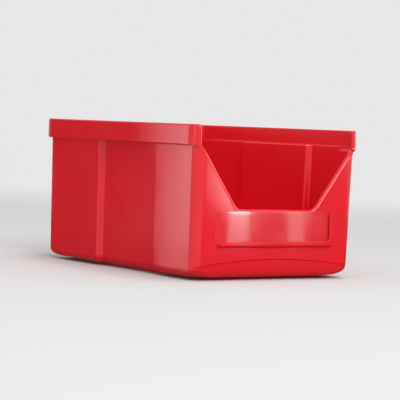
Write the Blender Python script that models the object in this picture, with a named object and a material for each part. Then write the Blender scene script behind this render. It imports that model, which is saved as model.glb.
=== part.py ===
"""Hanging parts bin: one moulded body, and the clear strip that slides into its label holder.

Metres, +Z up. The bin stands on its foot ring, with the origin under its middle. The open front
faces -Y, and the rail that hangs on a louvred panel runs along the back, at +Y.
"""

import math
from dataclasses import dataclass, replace

import bmesh
import bpy

MM = 0.001

# Driving dimensions
WIDTH = 102 * MM
DEPTH = 146 * MM  # over the label holder, which stands proud of the front
HEIGHT = 75 * MM
WALL = 2.0 * MM

# Stepped rim round the top
RIM_HEIGHT = 10 * MM
RIM_BACK_RADIUS = 9 * MM
RIM_FRONT_RADIUS = 7 * MM
RIM_EDGE = 0.7 * MM
RIM_SKIRT = 0.3 * MM  # bevel of the rim's lower edge
RIM_CORNER = 0.15  # share of the rim's overhang taken by the corner under it
LEDGE_DROP = 8.2 * MM  # from the top edge down to the ledge that carries the next bin
LEDGE_BEVEL = 0.5 * MM
LEDGE_CORNER = 0.2  # share of the ledge's width taken by the bevel at each side
INNER_BACK_GAP = 1.0 * MM  # how far the rim's inside stands behind the wall's, at the back
INNER_RADIUS = 5 * MM

# Side walls, below the rim
RIM_OVERHANG = 1.8 * MM
SIDE_DRAFT = 1.0 * MM  # how far a side leans in from the rim down to the base
BACK_DRAFT = 0.8 * MM
FRONT_DRAFT = 0.6 * MM
WALL_BACK_RADIUS = 3 * MM
WALL_FRONT_RADIUS = 5.5 * MM
FRONT_SETBACK = 0.6 * MM  # of the front wall behind the rim's front
PANEL_SET_IN = 3 * MM  # how far the middle of a side is set in
PANEL_BACK = 55 * MM  # where that panel starts and ends, from the back of the bin
PANEL_FRONT = 108.5 * MM
PANEL_STEP = 2.3 * MM  # the length over which a side steps in or out
PANEL_SPREAD = 1.3 * WALL  # how much further apart the two steps stand on the inside
LEAST_RADIUS = 0.5 * MM

# Base
SIDE_TURN = 6 * MM  # height at which a side or the back starts to turn under
FRONT_TURN = 7.6 * MM
FRONT_BOW = 3.0 * MM  # the front's lower edge is a bow, this much higher in the middle
FRONT_STEP = 0.8 * MM  # how far the band below that edge is set back
EDGE_DROP = 0.4 * MM  # the height over which it steps back
TURN_INSET = 4.5 * MM
FRONT_TURN_INSET = 4 * MM
BASE_BACK_RADIUS = 7 * MM
BASE_FRONT_RADIUS = 14 * MM
FOOT_INSET = 8.5 * MM
FOOT_RADIUS = 14 * MM
FOOT_RING = 4.5 * MM
FOOT_HEIGHT = 1.6 * MM
FOOT_BEVEL = 0.4 * MM
FOOT_SLOPE = 0.6 * MM  # the foot ring's sides lean out this far, up to the base
FLOOR_TOP = 3.6 * MM
FLOOR_INSET = 0.3 * MM  # the floor is this much smaller than the base
INNER_EDGE_RISE = 1.7 * MM  # how much higher the inside turns and steps than the outside
INNER_EDGE_DROP = 1.2 * MM

# Hanging rail: a flange that hangs down behind the back wall
RAIL_FLANGE = 1.6 * MM
RAIL_GAP = 4.2 * MM
RAIL_TOP = 2.4 * MM
RAIL_SLOT_HALF = 43 * MM
RAIL_BITE = 0.1 * MM  # the slot takes this much off the back wall, for a clean face
RAIL_CORNER = 1 * MM

# Front opening
LIP_Z = 34.6 * MM
LIP_HALF = 23.5 * MM
POST_HALF = 46.3 * MM
WING_TOP_Z = 65.6 * MM
LIP_CORNER = 6 * MM
WING_CORNER = 5 * MM
BEAD = 1.4 * MM  # radius of the rolled edge round the opening
BEAD_PROUD = 0.1 * MM
OPENING_DEPTH = 12 * MM  # how far back the cutter of the opening reaches
CUT_PAST = 5 * MM  # how far a cutter reaches past what it cuts

# Label holder and its strip
FRAME_PROUD = 1.0 * MM  # in front of the rim, so that the strip slides up clear of the front
FRAME_HALF = 36 * MM
FRAME_BOTTOM = 17 * MM
FRAME_TAPER = 1.0 * MM  # how much further it reaches at the wall than at its front
FRAME_CORNER = 2.0 * MM
WINDOW_HALF = 32.4 * MM
WINDOW_BOTTOM = 19 * MM
SLOT_HALF = 34.4 * MM
SLOT_BOTTOM = 17.8 * MM
SLOT_CORNER = 1.5 * MM
LIP_THICKNESS = 0.7 * MM
SLOT_DEPTH = 1.0 * MM
FRAME_BITE = 0.8 * MM  # how far the holder is set into the front wall
COVER_THICKNESS = 0.4 * MM
COVER_GAP = 0.3 * MM
COVER_TOP = 33.8 * MM
COVER_CORNER = 1.5 * MM

CORNER_STEPS = 8
STEP_STEPS = 6
TURN_STEPS = 6
ARC_STEPS = 8
BEAD_SIDES = 16
DOME_ANGLES = (0, 30, 60, 80)
FRONT_STATIONS = (0.18, 0.36, 0.54, 0.70, 0.85, 1.0)

RIM_Z = HEIGHT - RIM_HEIGHT
BACK_Y = DEPTH / 2
FRAME_Y = -DEPTH / 2
FRONT_Y = FRAME_Y + FRAME_PROUD  # the front of the rim


# ---------------------------------------------------------------- plan sections


@dataclass
class Section:
    """One horizontal outline of the bin: a rounded rectangle whose sides can step in."""

    half: float
    back: float
    front: float
    back_radius: float
    front_radius: float
    set_in: float = 0.0
    spread: float = 0.0  # how far the two steps of a side are moved apart


RIM = Section(WIDTH / 2, BACK_Y, FRONT_Y, RIM_BACK_RADIUS, RIM_FRONT_RADIUS)


def grown(section, by):
    """The outline moved outwards by a distance, or inwards if it is negative."""
    return replace(
        section,
        half=section.half + by,
        back=section.back + by,
        front=section.front - by,
        back_radius=max(section.back_radius + by, LEAST_RADIUS),
        front_radius=max(section.front_radius + by, LEAST_RADIUS),
    )


def mixed(a, b, share):
    """The outline that lies this share of the way from a to b."""
    values = {k: va + (vars(b)[k] - va) * share for k, va in vars(a).items()}
    return Section(**values)


def smooth(share):
    return share * share * (3 - 2 * share)


def quarter(centre_x, centre_y, radius, start):
    """Points of a quarter circle, turning clockwise from the angle start, in degrees."""
    found = []
    for i in range(CORNER_STEPS + 1):
        a = math.radians(start - 90 * i / CORNER_STEPS)
        found.append((centre_x + radius * math.cos(a), centre_y + radius * math.sin(a)))
    return found


def side_step(section, start_y, inwards):
    """The step at one end of a side's set-in panel."""
    found = []
    for i in range(STEP_STEPS + 1):
        share = smooth(i / STEP_STEPS)
        depth = section.set_in * (share if inwards else 1 - share)
        found.append((section.half - depth, start_y - PANEL_STEP * i / STEP_STEPS))
    return found


def half_outline(section):
    """The right half of an outline, from the middle of the back to the middle of the front."""
    s = section
    corner = s.half - s.back_radius
    points = [(0.0, s.back), (0.5 * corner, s.back)]
    points += quarter(corner, s.back - s.back_radius, s.back_radius, 90)
    points += side_step(s, BACK_Y - PANEL_BACK + s.spread, True)
    points += side_step(s, BACK_Y - PANEL_FRONT + PANEL_STEP - s.spread, False)
    corner = s.half - s.front_radius
    points += quarter(corner, s.front + s.front_radius, s.front_radius, 0)
    points += [(corner * (1 - share), s.front) for share in FRONT_STATIONS]
    return points


def turn_heights():
    """For each point of half_outline, the height at which the wall above it turns under."""
    heights = [SIDE_TURN] * (2 + CORNER_STEPS + 1 + 2 * (STEP_STEPS + 1))
    for i in range(CORNER_STEPS + 1):
        heights.append(SIDE_TURN + (FRONT_TURN - SIDE_TURN) * i / CORNER_STEPS)
    for share in FRONT_STATIONS:
        heights.append(FRONT_TURN + FRONT_BOW * (1 - (1 - share) ** 2))
    return heights


def front_steps():
    """For each point of half_outline, how far the band below the walls is set back there."""
    values = [0.0] * (2 + CORNER_STEPS + 1 + 2 * (STEP_STEPS + 1))
    for i in range(CORNER_STEPS + 1):
        values.append(FRONT_STEP * smooth(i / CORNER_STEPS))
    return values + [FRONT_STEP] * len(FRONT_STATIONS)


def whole(half):
    """A full ring of values or points from those of its right half."""
    left = half[1:-1][::-1]
    if isinstance(half[0], tuple):
        left = [(-x, *rest) for x, *rest in left]
    return half + left


def ring(section, z):
    """The closed outline of a section, all at one height or each point at its own."""
    points = whole(half_outline(section))
    heights = z if isinstance(z, list) else [z] * len(points)
    return [(x, y, h) for (x, y), h in zip(points, heights)]


def wall_section(z):
    """The outside of the walls at a height below the rim."""
    share = z / RIM_Z
    return Section(
        half=WIDTH / 2 - RIM_OVERHANG - SIDE_DRAFT * (1 - share),
        back=BACK_Y - RAIL_FLANGE - RAIL_GAP - BACK_DRAFT * (1 - share),
        front=FRONT_Y + FRONT_SETBACK + FRONT_DRAFT * (1 - share),
        back_radius=WALL_BACK_RADIUS,
        front_radius=WALL_FRONT_RADIUS,
        set_in=PANEL_SET_IN,
    )


def base_section(inset):
    """The flat of the base, inside the turn of the walls, and this much smaller."""
    wall = wall_section(0)
    return Section(
        half=wall.half - TURN_INSET - inset,
        back=wall.back - TURN_INSET - inset,
        front=wall.front + FRONT_TURN_INSET + inset,
        back_radius=BASE_BACK_RADIUS,
        front_radius=BASE_FRONT_RADIUS,
        set_in=PANEL_SET_IN,
    )


def inside(section):
    """The inner face of the walls, one wall thickness in."""
    return replace(grown(section, -WALL), spread=PANEL_SPREAD)


def turn_rings(low, high):
    """The rings of a quarter round between the base and the walls."""
    found = []
    for i in range(1, TURN_STEPS):
        angle = math.radians(90 * i / TURN_STEPS)
        out, up = math.sin(angle), 1 - math.cos(angle)
        found.append(
            [
                (a[0] + (b[0] - a[0]) * out, a[1] + (b[1] - a[1]) * out, a[2] + (b[2] - a[2]) * up)
                for a, b in zip(low, high)
            ]
        )
    return found


# ---------------------------------------------------------------- the body's rings


def outer_rings():
    """From the middle of the base, under and up the outside to the top edge."""
    base = base_section(0)
    foot = replace(grown(wall_section(0), -FOOT_INSET), set_in=0.0)
    foot.back_radius = foot.front_radius = FOOT_RADIUS
    wall_top = wall_section(RIM_Z)
    base_ring = ring(base, FOOT_HEIGHT)
    heights = whole(turn_heights())
    edge_ring = ring(wall_section(SIDE_TURN), heights)
    set_back = whole(front_steps())
    turn_ring = [(x, y + s, z - EDGE_DROP) for (x, y, z), s in zip(edge_ring, set_back)]
    rings = [
        ring(grown(foot, -FOOT_RING - FOOT_SLOPE), FOOT_HEIGHT),
        ring(grown(foot, -FOOT_RING), FOOT_BEVEL),
        ring(grown(foot, -FOOT_RING + FOOT_BEVEL), 0.0),
        ring(grown(foot, -FOOT_BEVEL), 0.0),
        ring(foot, FOOT_BEVEL),
        ring(grown(foot, FOOT_SLOPE), FOOT_HEIGHT),
        base_ring,
    ]
    rings += turn_rings(base_ring, turn_ring)
    rings += [
        turn_ring,
        edge_ring,
        ring(wall_top, RIM_Z - RIM_SKIRT),
        ring(mixed(wall_top, RIM, RIM_CORNER), RIM_Z),
        ring(grown(RIM, -RIM_SKIRT), RIM_Z),
        ring(RIM, RIM_Z + RIM_SKIRT),
    ]
    for share in (0.0, 0.5, 1.0):
        angle = share * math.pi / 2
        inset = RIM_EDGE * (1 - math.cos(angle))
        rings.append(ring(grown(RIM, -inset), HEIGHT - RIM_EDGE * (1 - math.sin(angle))))
    return rings


def inner_rings():
    """From the top edge, down the inside over the ledge to the floor."""
    wall_top = inside(wall_section(RIM_Z))
    rim = Section(
        half=WIDTH / 2 - WALL,
        back=wall_top.back + INNER_BACK_GAP,
        front=FRONT_Y + WALL,
        back_radius=INNER_RADIUS,
        front_radius=INNER_RADIUS,
    )
    ledge_z = HEIGHT - LEDGE_DROP
    floor = base_section(FLOOR_INSET)
    rings = []
    for share in (1.0, 0.5, 0.0):
        angle = share * math.pi / 2
        spread = RIM_EDGE * (1 - math.cos(angle))
        rings.append(ring(grown(rim, spread), HEIGHT - RIM_EDGE * (1 - math.sin(angle))))
    rings += [
        ring(rim, ledge_z + LEDGE_BEVEL),
        ring(mixed(rim, wall_top, LEDGE_CORNER), ledge_z),
        ring(mixed(rim, wall_top, 1 - LEDGE_CORNER), ledge_z),
        ring(wall_top, ledge_z - LEDGE_BEVEL),
    ]
    edge = [h + INNER_EDGE_RISE for h in whole(turn_heights())]
    edge_ring = ring(inside(wall_section(SIDE_TURN)), edge)
    set_back = whole(front_steps())
    turn_ring = [(x, y + s, z - INNER_EDGE_DROP) for (x, y, z), s in zip(edge_ring, set_back)]
    floor_ring = ring(floor, FLOOR_TOP)
    rings += [edge_ring, turn_ring]
    rings += turn_rings(floor_ring, turn_ring)[::-1]
    rings.append(floor_ring)
    return rings


# ---------------------------------------------------------------- meshes


def object_from(name, points, faces):
    mesh = bpy.data.meshes.new(name)
    mesh.from_pydata(points, [], faces)
    made = bmesh.new()
    made.from_mesh(mesh)
    bmesh.ops.recalc_face_normals(made, faces=made.faces)
    made.to_mesh(mesh)
    made.free()
    found = bpy.data.objects.new(name, mesh)
    bpy.context.scene.collection.objects.link(found)
    return found


def loft(name, rings):
    """A closed skin through rings of equal counts, capped at both ends."""
    count = len(rings[0])
    points = [p for each in rings for p in each]
    faces = [tuple(range(count))[::-1]]
    for level in range(len(rings) - 1):
        for i in range(count):
            a, b = level * count + i, level * count + (i + 1) % count
            faces.append((a, b, b + count, a + count))
    faces.append(tuple(range(len(points) - count, len(points))))
    return object_from(name, points, faces)


def prism(name, outline, near, far, axis="y"):
    """An outline drawn across one axis and carried along it. Across y it is (x, z), across x (y, z)."""
    place = {"y": lambda u, v, w: (u, w, v), "x": lambda u, v, w: (w, u, v)}[axis]
    return loft(name, [[place(u, v, w) for u, v in outline] for w in (near, far)])


def tube(name, path, radius):
    """A round bar along a path of (x, y, z) points that lies across y, with domed ends."""
    rings = []
    for i, (x, y, z) in enumerate(path):
        before, after = path[max(i - 1, 0)], path[min(i + 1, len(path) - 1)]
        along_x, along_z = after[0] - before[0], after[2] - before[2]
        length = math.hypot(along_x, along_z)
        along_x, along_z = along_x / length, along_z / length
        if i == 0:
            angles = DOME_ANGLES[::-1]
        elif i == len(path) - 1:
            angles = DOME_ANGLES
        else:
            angles = (0,)
        forward = -1 if i == 0 else 1
        for angle in angles:
            on = forward * radius * math.sin(math.radians(angle))
            size = radius * math.cos(math.radians(angle))
            points = []
            for k in range(BEAD_SIDES):
                a = 2 * math.pi * k / BEAD_SIDES
                reach, lift = size * math.cos(a), size * math.sin(a)
                points.append(
                    (x + along_x * on + along_z * reach, y + lift, z + along_z * on - along_x * reach)
                )
            rings.append(points)
    return loft(name, rings)


def filleted(corners):
    """An outline through (x, z, radius) corners, each rounded to its radius. The ends stay as they are."""
    found = [corners[0][:2]]
    for before, (x, z, radius), after in zip(corners, corners[1:], corners[2:]):
        start = math.atan2(before[1] - z, before[0] - x)
        end = math.atan2(after[1] - z, after[0] - x)
        opening = (end - start + math.pi) % (2 * math.pi) - math.pi
        reach = radius / math.tan(abs(opening) / 2)
        centre = radius / math.sin(abs(opening) / 2)
        middle = start + opening / 2
        cx, cz = x + centre * math.cos(middle), z + centre * math.sin(middle)
        first = math.atan2(z + reach * math.sin(start) - cz, x + reach * math.cos(start) - cx)
        turn = -math.copysign(math.pi - abs(opening), opening)
        for i in range(ARC_STEPS + 1):
            a = first + turn * i / ARC_STEPS
            found.append((cx + radius * math.cos(a), cz + radius * math.sin(a)))
    return found + [corners[-1][:2]]


def mirrored(half):
    """A left-to-right outline from its right half, which starts on the middle line."""
    return [(-x, z) for x, z in half[::-1]] + half


def add_boolean(target, other, operation):
    step = target.modifiers.new(f"{operation.title()} {other.name}", "BOOLEAN")
    step.operation = operation
    step.solver = "EXACT"
    step.object = other
    other.hide_render = True
    other.display_type = "WIRE"


def plastic(name, colour, roughness, transmission=0.0):
    made = bpy.data.materials.new(name)
    made.use_nodes = True
    shader = made.node_tree.nodes["Principled BSDF"]
    shader.inputs["Base Color"].default_value = (*colour, 1)
    shader.inputs["Roughness"].default_value = roughness
    shader.inputs["Metallic"].default_value = 0.0
    shader.inputs["Transmission Weight"].default_value = transmission
    return made


# ---------------------------------------------------------------- the two pieces


def opening_edge():
    """The middle line of the rolled edge round the front opening, right half, from the lip up."""
    slope = math.atan2(WING_TOP_Z - LIP_Z, POST_HALF - LIP_HALF)
    corner_x = LIP_HALF + BEAD * math.tan(slope / 2)
    wing_z = WING_TOP_Z - BEAD * math.tan((math.pi / 2 - slope) / 2)
    return filleted(
        [
            (0.0, LIP_Z - BEAD, 0),
            (corner_x, LIP_Z - BEAD, LIP_CORNER + BEAD),
            (POST_HALF + BEAD, wing_z, WING_CORNER - BEAD),
            (POST_HALF + BEAD, HEIGHT - BEAD, 0),
        ]
    )


def front_opening():
    edge = opening_edge()
    right = edge[1:-1] + [(edge[-1][0], HEIGHT + CUT_PAST)]
    far = FRONT_Y + OPENING_DEPTH
    return prism("opening_cutter", mirrored(right), FRONT_Y - CUT_PAST, far)


def front_face(x, section):
    """How far forward an outline reaches at x."""
    past_corner = abs(x) - (section.half - section.front_radius)
    if past_corner <= 0:
        return section.front
    radius = section.front_radius
    return section.front + radius - math.sqrt(radius**2 - past_corner**2)


def rolled_edge():
    path = []
    for x, z in mirrored(opening_edge()[1:]):
        section = RIM if z > RIM_Z else wall_section(z)
        path.append((x, front_face(x, section) + BEAD - BEAD_PROUD, z))
    return tube("rolled_edge", path, BEAD)


def rail_slot():
    """The gap between the hanging flange and the back wall, open below."""
    near = BACK_Y - RAIL_FLANGE
    far = near - RAIL_GAP - RAIL_BITE
    top = HEIGHT - RAIL_TOP
    start = RIM_Z - CUT_PAST
    outline = filleted(
        [(near, start, 0), (near, top, RAIL_CORNER), (far, top, RAIL_CORNER), (far, start, 0)]
    )
    return prism("rail_slot_cutter", outline, -RAIL_SLOT_HALF, RAIL_SLOT_HALF, axis="x")


def pocket_outline(half, bottom, top, corner):
    """An upright rectangle (x, z) with its two lower corners rounded."""
    return mirrored(filleted([(0.0, bottom, 0), (half, bottom, corner), (half, top, 0)])[1:])


def label_frame():
    """The raised plate that the label holder is cut into. It widens towards the wall."""
    top = LIP_Z - BEAD
    front = pocket_outline(FRAME_HALF, FRAME_BOTTOM, top, FRAME_CORNER)
    bottom = FRAME_BOTTOM - FRAME_TAPER
    wall = pocket_outline(FRAME_HALF + FRAME_TAPER, bottom, top, FRAME_CORNER + FRAME_TAPER)
    wall_y = wall_section(bottom).front
    rings = []
    for outline, y in ((front, FRAME_Y), (wall, wall_y), (wall, wall_y + FRAME_BITE)):
        rings.append([(x, y, z) for x, z in outline])
    return loft("label_frame", rings)


def pocket_cutter(name, half, bottom, near, far):
    """A cutter for the holder, open at the top, where the strip goes in."""
    outline = pocket_outline(half, bottom, LIP_Z + CUT_PAST, SLOT_CORNER)
    return prism(name, outline, near, far)


def make_bin_shell():
    shell = loft("bin_shell", outer_rings() + inner_rings())
    slot_front = FRAME_Y + LIP_THICKNESS
    slot_back = slot_front + SLOT_DEPTH
    slot = pocket_cutter("slot_cutter", SLOT_HALF, SLOT_BOTTOM, slot_front, slot_back)
    before = FRAME_Y - CUT_PAST
    between = (slot_front + slot_back) / 2
    window = pocket_cutter("window_cutter", WINDOW_HALF, WINDOW_BOTTOM, before, between)
    add_boolean(shell, front_opening(), "DIFFERENCE")
    add_boolean(shell, label_frame(), "UNION")
    add_boolean(shell, rolled_edge(), "UNION")
    add_boolean(shell, slot, "DIFFERENCE")
    add_boolean(shell, window, "DIFFERENCE")
    add_boolean(shell, rail_slot(), "DIFFERENCE")
    shell.data.materials.append(plastic("red_polypropylene", (0.72, 0.015, 0.025), 0.3))
    shell.data.shade_smooth()
    shell.data.set_sharp_from_angle(angle=math.radians(30))
    return shell


def make_label_cover():
    """The clear strip. It slides up and out of the holder, so its origin is on that line."""
    half = SLOT_HALF - COVER_GAP
    bottom = SLOT_BOTTOM + COVER_GAP
    near = FRAME_Y + LIP_THICKNESS + COVER_GAP
    right = filleted(
        [
            (0.0, bottom, 0),
            (half, bottom, COVER_CORNER),
            (half, COVER_TOP, COVER_CORNER),
            (0.0, COVER_TOP, 0),
        ]
    )
    cover = prism("label_cover", mirrored(right[1:-1]), near, near + COVER_THICKNESS)
    cover.data.materials.append(plastic("clear_strip", (0.95, 0.95, 0.95), 0.08, 1.0))
    return cover


def main():
    for old in list(bpy.data.objects):
        bpy.data.objects.remove(old)
    make_bin_shell()
    make_label_cover()


main()
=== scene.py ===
# %% [markdown]
# # A hanging parts bin
#
# Small open-front bins like this one hang in rows on a louvred steel panel over a workbench.
# Each is one moulding of red polypropylene. A clear strip slides into a holder on its front and
# covers a paper label. In this lesson the measured parts are loaded, the moulding is built again
# with finer roundings, both pieces get their plastics, and a small studio lights them.

import math
from dataclasses import dataclass, replace

import bmesh
import bpy
from mathutils import Matrix, Vector


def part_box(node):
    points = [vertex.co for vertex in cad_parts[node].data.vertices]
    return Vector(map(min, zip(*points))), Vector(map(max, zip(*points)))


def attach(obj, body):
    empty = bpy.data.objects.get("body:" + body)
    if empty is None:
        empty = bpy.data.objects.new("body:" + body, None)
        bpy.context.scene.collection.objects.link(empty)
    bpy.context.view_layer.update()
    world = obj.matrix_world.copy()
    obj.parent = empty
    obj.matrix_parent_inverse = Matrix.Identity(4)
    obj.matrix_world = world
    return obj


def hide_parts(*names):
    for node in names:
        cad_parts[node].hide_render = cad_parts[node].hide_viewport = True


MM = 0.001

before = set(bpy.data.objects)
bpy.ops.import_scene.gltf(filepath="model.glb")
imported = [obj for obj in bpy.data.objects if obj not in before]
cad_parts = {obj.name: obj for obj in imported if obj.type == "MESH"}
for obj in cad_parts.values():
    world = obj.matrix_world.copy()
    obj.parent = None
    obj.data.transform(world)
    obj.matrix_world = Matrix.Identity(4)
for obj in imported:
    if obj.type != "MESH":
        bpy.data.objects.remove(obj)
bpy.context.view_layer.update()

# %% [markdown]
# ## The camera
#
# The bin is looked at from a little to the left of its open front, and from just above its rim, as
# someone sees it who walks up to the panel. A camera is easiest to place on a sphere round the
# bin: an angle round it, an angle above it and a distance. A long lens keeps the bin large without
# coming closer, because coming closer would make its front look too big for its back. The bin
# hangs a few degrees out of level, and a small roll of the camera says so.

# %% Camera
VIEW_TARGET = Vector((2.3, -1.85, 35.5)) * MM
VIEW_AZIMUTH = -35.3
VIEW_ELEVATION = 2.4
VIEW_ROLL = 2.4
VIEW_DISTANCE = 903 * MM
LENS = 155.0


def add_camera():
    round_it, above = math.radians(VIEW_AZIMUTH), math.radians(VIEW_ELEVATION)
    away = Vector(
        (
            math.sin(round_it) * math.cos(above),
            -math.cos(round_it) * math.cos(above),
            math.sin(above),
        )
    )
    camera = bpy.data.objects.new("camera", bpy.data.cameras.new("camera"))
    camera.data.lens = LENS
    camera.data.clip_start = 0.01
    level = (-away).to_track_quat("-Z", "Y").to_matrix().to_4x4()
    roll = Matrix.Rotation(math.radians(VIEW_ROLL), 4, "Z")
    camera.matrix_world = Matrix.Translation(VIEW_TARGET + VIEW_DISTANCE * away) @ level @ roll
    bpy.context.scene.collection.objects.link(camera)
    bpy.context.scene.camera = camera
    return camera


camera = add_camera()
print("camera at", [round(v, 3) for v in camera.matrix_world.translation])

# %% [markdown]
# ## The sizes of the moulding
#
# The overall sizes come from the measured parts, so the finer moulding fits the old one exactly.
# The rest are the sizes that a mould maker would put on a drawing: wall, rim, drafts and radii. A
# moulded wall is never quite upright. It leans by about half a degree, its draft, so that the
# moulding slips off the steel. Each group of sizes below is for one feature.

# %% Sizes
low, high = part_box("bin_shell")
HALF_WIDTH = high.x
BACK_Y = high.y
HOLDER_Y = low.y
HEIGHT = high.z
WALL = 2.0 * MM

# The rim, which is a skirt that stands proud of the walls, with a ledge inside it
HOLDER_PROUD = 1.0 * MM
FRONT_Y = HOLDER_Y + HOLDER_PROUD
RIM_HEIGHT = 10 * MM
RIM_Z = HEIGHT - RIM_HEIGHT
RIM_OVERHANG = 1.8 * MM
RIM_BACK_RADIUS = 9 * MM
RIM_FRONT_RADIUS = 7 * MM
RIM_TOP_ROUND = 0.7 * MM
RIM_FOOT_ROUND = 0.5 * MM
LEDGE_DROP = 8.2 * MM
INNER_BACK_GAP = 1.0 * MM
INNER_RADIUS = 5 * MM

# The walls below it, with the panel that is set into each side
SIDE_DRAFT = 1.0 * MM
BACK_DRAFT = 0.8 * MM
FRONT_DRAFT = 0.6 * MM
FRONT_SETBACK = 0.6 * MM
WALL_BACK_RADIUS = 3 * MM
WALL_FRONT_RADIUS = 5.5 * MM
PANEL_SET_IN = 3 * MM
PANEL_BACK = 55 * MM
PANEL_FRONT = 108.5 * MM
PANEL_STEP = 2.3 * MM
PANEL_SPREAD = 1.3 * WALL

# The turn under to the base, the foot ring and the floor
SIDE_TURN = 6 * MM
FRONT_TURN = 7.6 * MM
FRONT_BOW = 3.0 * MM
FRONT_STEP = 0.8 * MM
TURN_INSET = 4.5 * MM
FRONT_TURN_INSET = 4 * MM
BASE_BACK_RADIUS = 7 * MM
BASE_FRONT_RADIUS = 14 * MM
FOOT_INSET = 8.5 * MM
FOOT_RADIUS = 14 * MM
FOOT_RING = 4.5 * MM
FOOT_HEIGHT = 1.6 * MM
FOOT_ROUND = 0.4 * MM
FOOT_SLOPE = 0.6 * MM
FLOOR_TOP = 3.6 * MM
FLOOR_INSET = 0.3 * MM

# The hanging rail
RAIL_FLANGE = 1.6 * MM
RAIL_GAP = 4.2 * MM
print("bin, mm:", [round(v / MM, 1) for v in (2 * HALF_WIDTH, BACK_Y - HOLDER_Y, HEIGHT)])

# %% [markdown]
# ## The moulding as a stack of outlines
#
# Seen from above, the bin is a rounded rectangle at every height, only a little larger or smaller.
# So its skin can be lofted: draw the outline at each height where something changes, give all the
# outlines the same number of points, and join each to the next with a band of faces. A cube with
# extrusions would also do, but then the draft, the corner radii and the set-in side panels would
# have to be pushed into place by hand. Here they are just numbers in an outline.

# %% One outline, with numbers
CORNER_STEPS = 20
STEP_STEPS = 12
FRONT_STEPS = 14
LEAST_RADIUS = 0.5 * MM


@dataclass
class Outline:
    """A rounded rectangle, in plan, whose two sides can step in between the ends of a panel."""

    half: float
    back: float
    front: float
    back_radius: float
    front_radius: float
    set_in: float = 0.0
    spread: float = 0.0


def grown(outline, by):
    """The outline moved outwards all round. Its corners grow with it."""
    return replace(
        outline,
        half=outline.half + by,
        back=outline.back + by,
        front=outline.front - by,
        back_radius=max(outline.back_radius + by, LEAST_RADIUS),
        front_radius=max(outline.front_radius + by, LEAST_RADIUS),
    )


def between(a, b, share):
    """The outline that lies this share of the way from a to b."""
    return Outline(**{k: va + (vars(b)[k] - va) * share for k, va in vars(a).items()})


def eased(share):
    """A share that starts and ends slowly, for steps without a kink."""
    return share * share * (3 - 2 * share)


print("halfway through a step:", eased(0.5), "and a tenth in:", round(eased(0.1), 3))

# %% From numbers to points
def quarter_turn(centre_x, centre_y, radius, start):
    """Points of a quarter circle, clockwise from the angle start."""
    angles = [math.radians(start - 90 * i / CORNER_STEPS) for i in range(CORNER_STEPS + 1)]
    return [(centre_x + radius * math.cos(a), centre_y + radius * math.sin(a)) for a in angles]


def panel_step(outline, start_y, inwards):
    """Points down the right side, where it steps in to its panel or out again."""
    found = []
    for i in range(STEP_STEPS + 1):
        share = eased(i / STEP_STEPS)
        depth = outline.set_in * (share if inwards else 1 - share)
        found.append((outline.half - depth, start_y - PANEL_STEP * i / STEP_STEPS))
    return found


def front_stations():
    """Where points stand along the front, as shares of the way to its middle."""
    return [(i + 1) / FRONT_STEPS for i in range(FRONT_STEPS)]


def right_half(outline):
    """From the middle of the back, down the right side, to the middle of the front."""
    o = outline
    corner = o.half - o.back_radius
    points = [(0.0, o.back), (0.5 * corner, o.back)]
    points += quarter_turn(corner, o.back - o.back_radius, o.back_radius, 90)
    points += panel_step(o, BACK_Y - PANEL_BACK + o.spread, True)
    points += panel_step(o, BACK_Y - PANEL_FRONT + PANEL_STEP - o.spread, False)
    corner = o.half - o.front_radius
    points += quarter_turn(corner, o.front + o.front_radius, o.front_radius, 0)
    return points + [(corner * (1 - share), o.front) for share in front_stations()]


def all_round(half):
    """Both halves of a ring, from its right half."""
    left = half[1:-1][::-1]
    if isinstance(half[0], tuple):
        left = [(-x, *rest) for x, *rest in left]
    return half + left


def ring(outline, z):
    points = all_round(right_half(outline))
    heights = z if isinstance(z, list) else [z] * len(points)
    return [(x, y, h) for (x, y), h in zip(points, heights)]


example = Outline(half=50 * MM, back=70 * MM, front=-70 * MM, back_radius=9 * MM, front_radius=7 * MM)
print("points in an outline:", len(ring(example, 0.0)))

# %% [markdown]
# ## The walls, the base and the front's bow
#
# Below the rim the outline shrinks slowly by the draft. At the bottom the walls turn under through a
# quarter round to the flat base. On the front that turn doesn't start level: its edge is a shallow
# bow, higher in the middle, with a band set back below it. So every point of the turn carries its
# own height and its own set-back.

# %% Walls and base
def wall_outline(z):
    """The outside of the walls at a height below the rim."""
    up = z / RIM_Z
    return Outline(
        half=HALF_WIDTH - RIM_OVERHANG - SIDE_DRAFT * (1 - up),
        back=BACK_Y - RAIL_FLANGE - RAIL_GAP - BACK_DRAFT * (1 - up),
        front=FRONT_Y + FRONT_SETBACK + FRONT_DRAFT * (1 - up),
        back_radius=WALL_BACK_RADIUS,
        front_radius=WALL_FRONT_RADIUS,
        set_in=PANEL_SET_IN,
    )


def base_outline(inset):
    """The flat of the base, where the turn under has ended."""
    wall = wall_outline(0)
    return Outline(
        half=wall.half - TURN_INSET - inset,
        back=wall.back - TURN_INSET - inset,
        front=wall.front + FRONT_TURN_INSET + inset,
        back_radius=BASE_BACK_RADIUS,
        front_radius=BASE_FRONT_RADIUS,
        set_in=PANEL_SET_IN,
    )


def inner(outline):
    """The inside of a wall. Its panel's steps stand further apart, so the wall keeps its thickness."""
    return replace(grown(outline, -WALL), spread=PANEL_SPREAD)


for z in (0, RIM_Z):
    print(f"half width at {z / MM:.0f} mm: {wall_outline(z).half / MM:.1f} mm")

# %% The bow and the band below it
BEFORE_FRONT = 2 + CORNER_STEPS + 1 + 2 * (STEP_STEPS + 1)


def turn_heights():
    """The height at which the wall turns under, for each point of an outline."""
    heights = [SIDE_TURN] * BEFORE_FRONT
    for i in range(CORNER_STEPS + 1):
        heights.append(SIDE_TURN + (FRONT_TURN - SIDE_TURN) * i / CORNER_STEPS)
    for share in front_stations():
        heights.append(FRONT_TURN + FRONT_BOW * (1 - (1 - share) ** 2))
    return all_round(heights)


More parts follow.
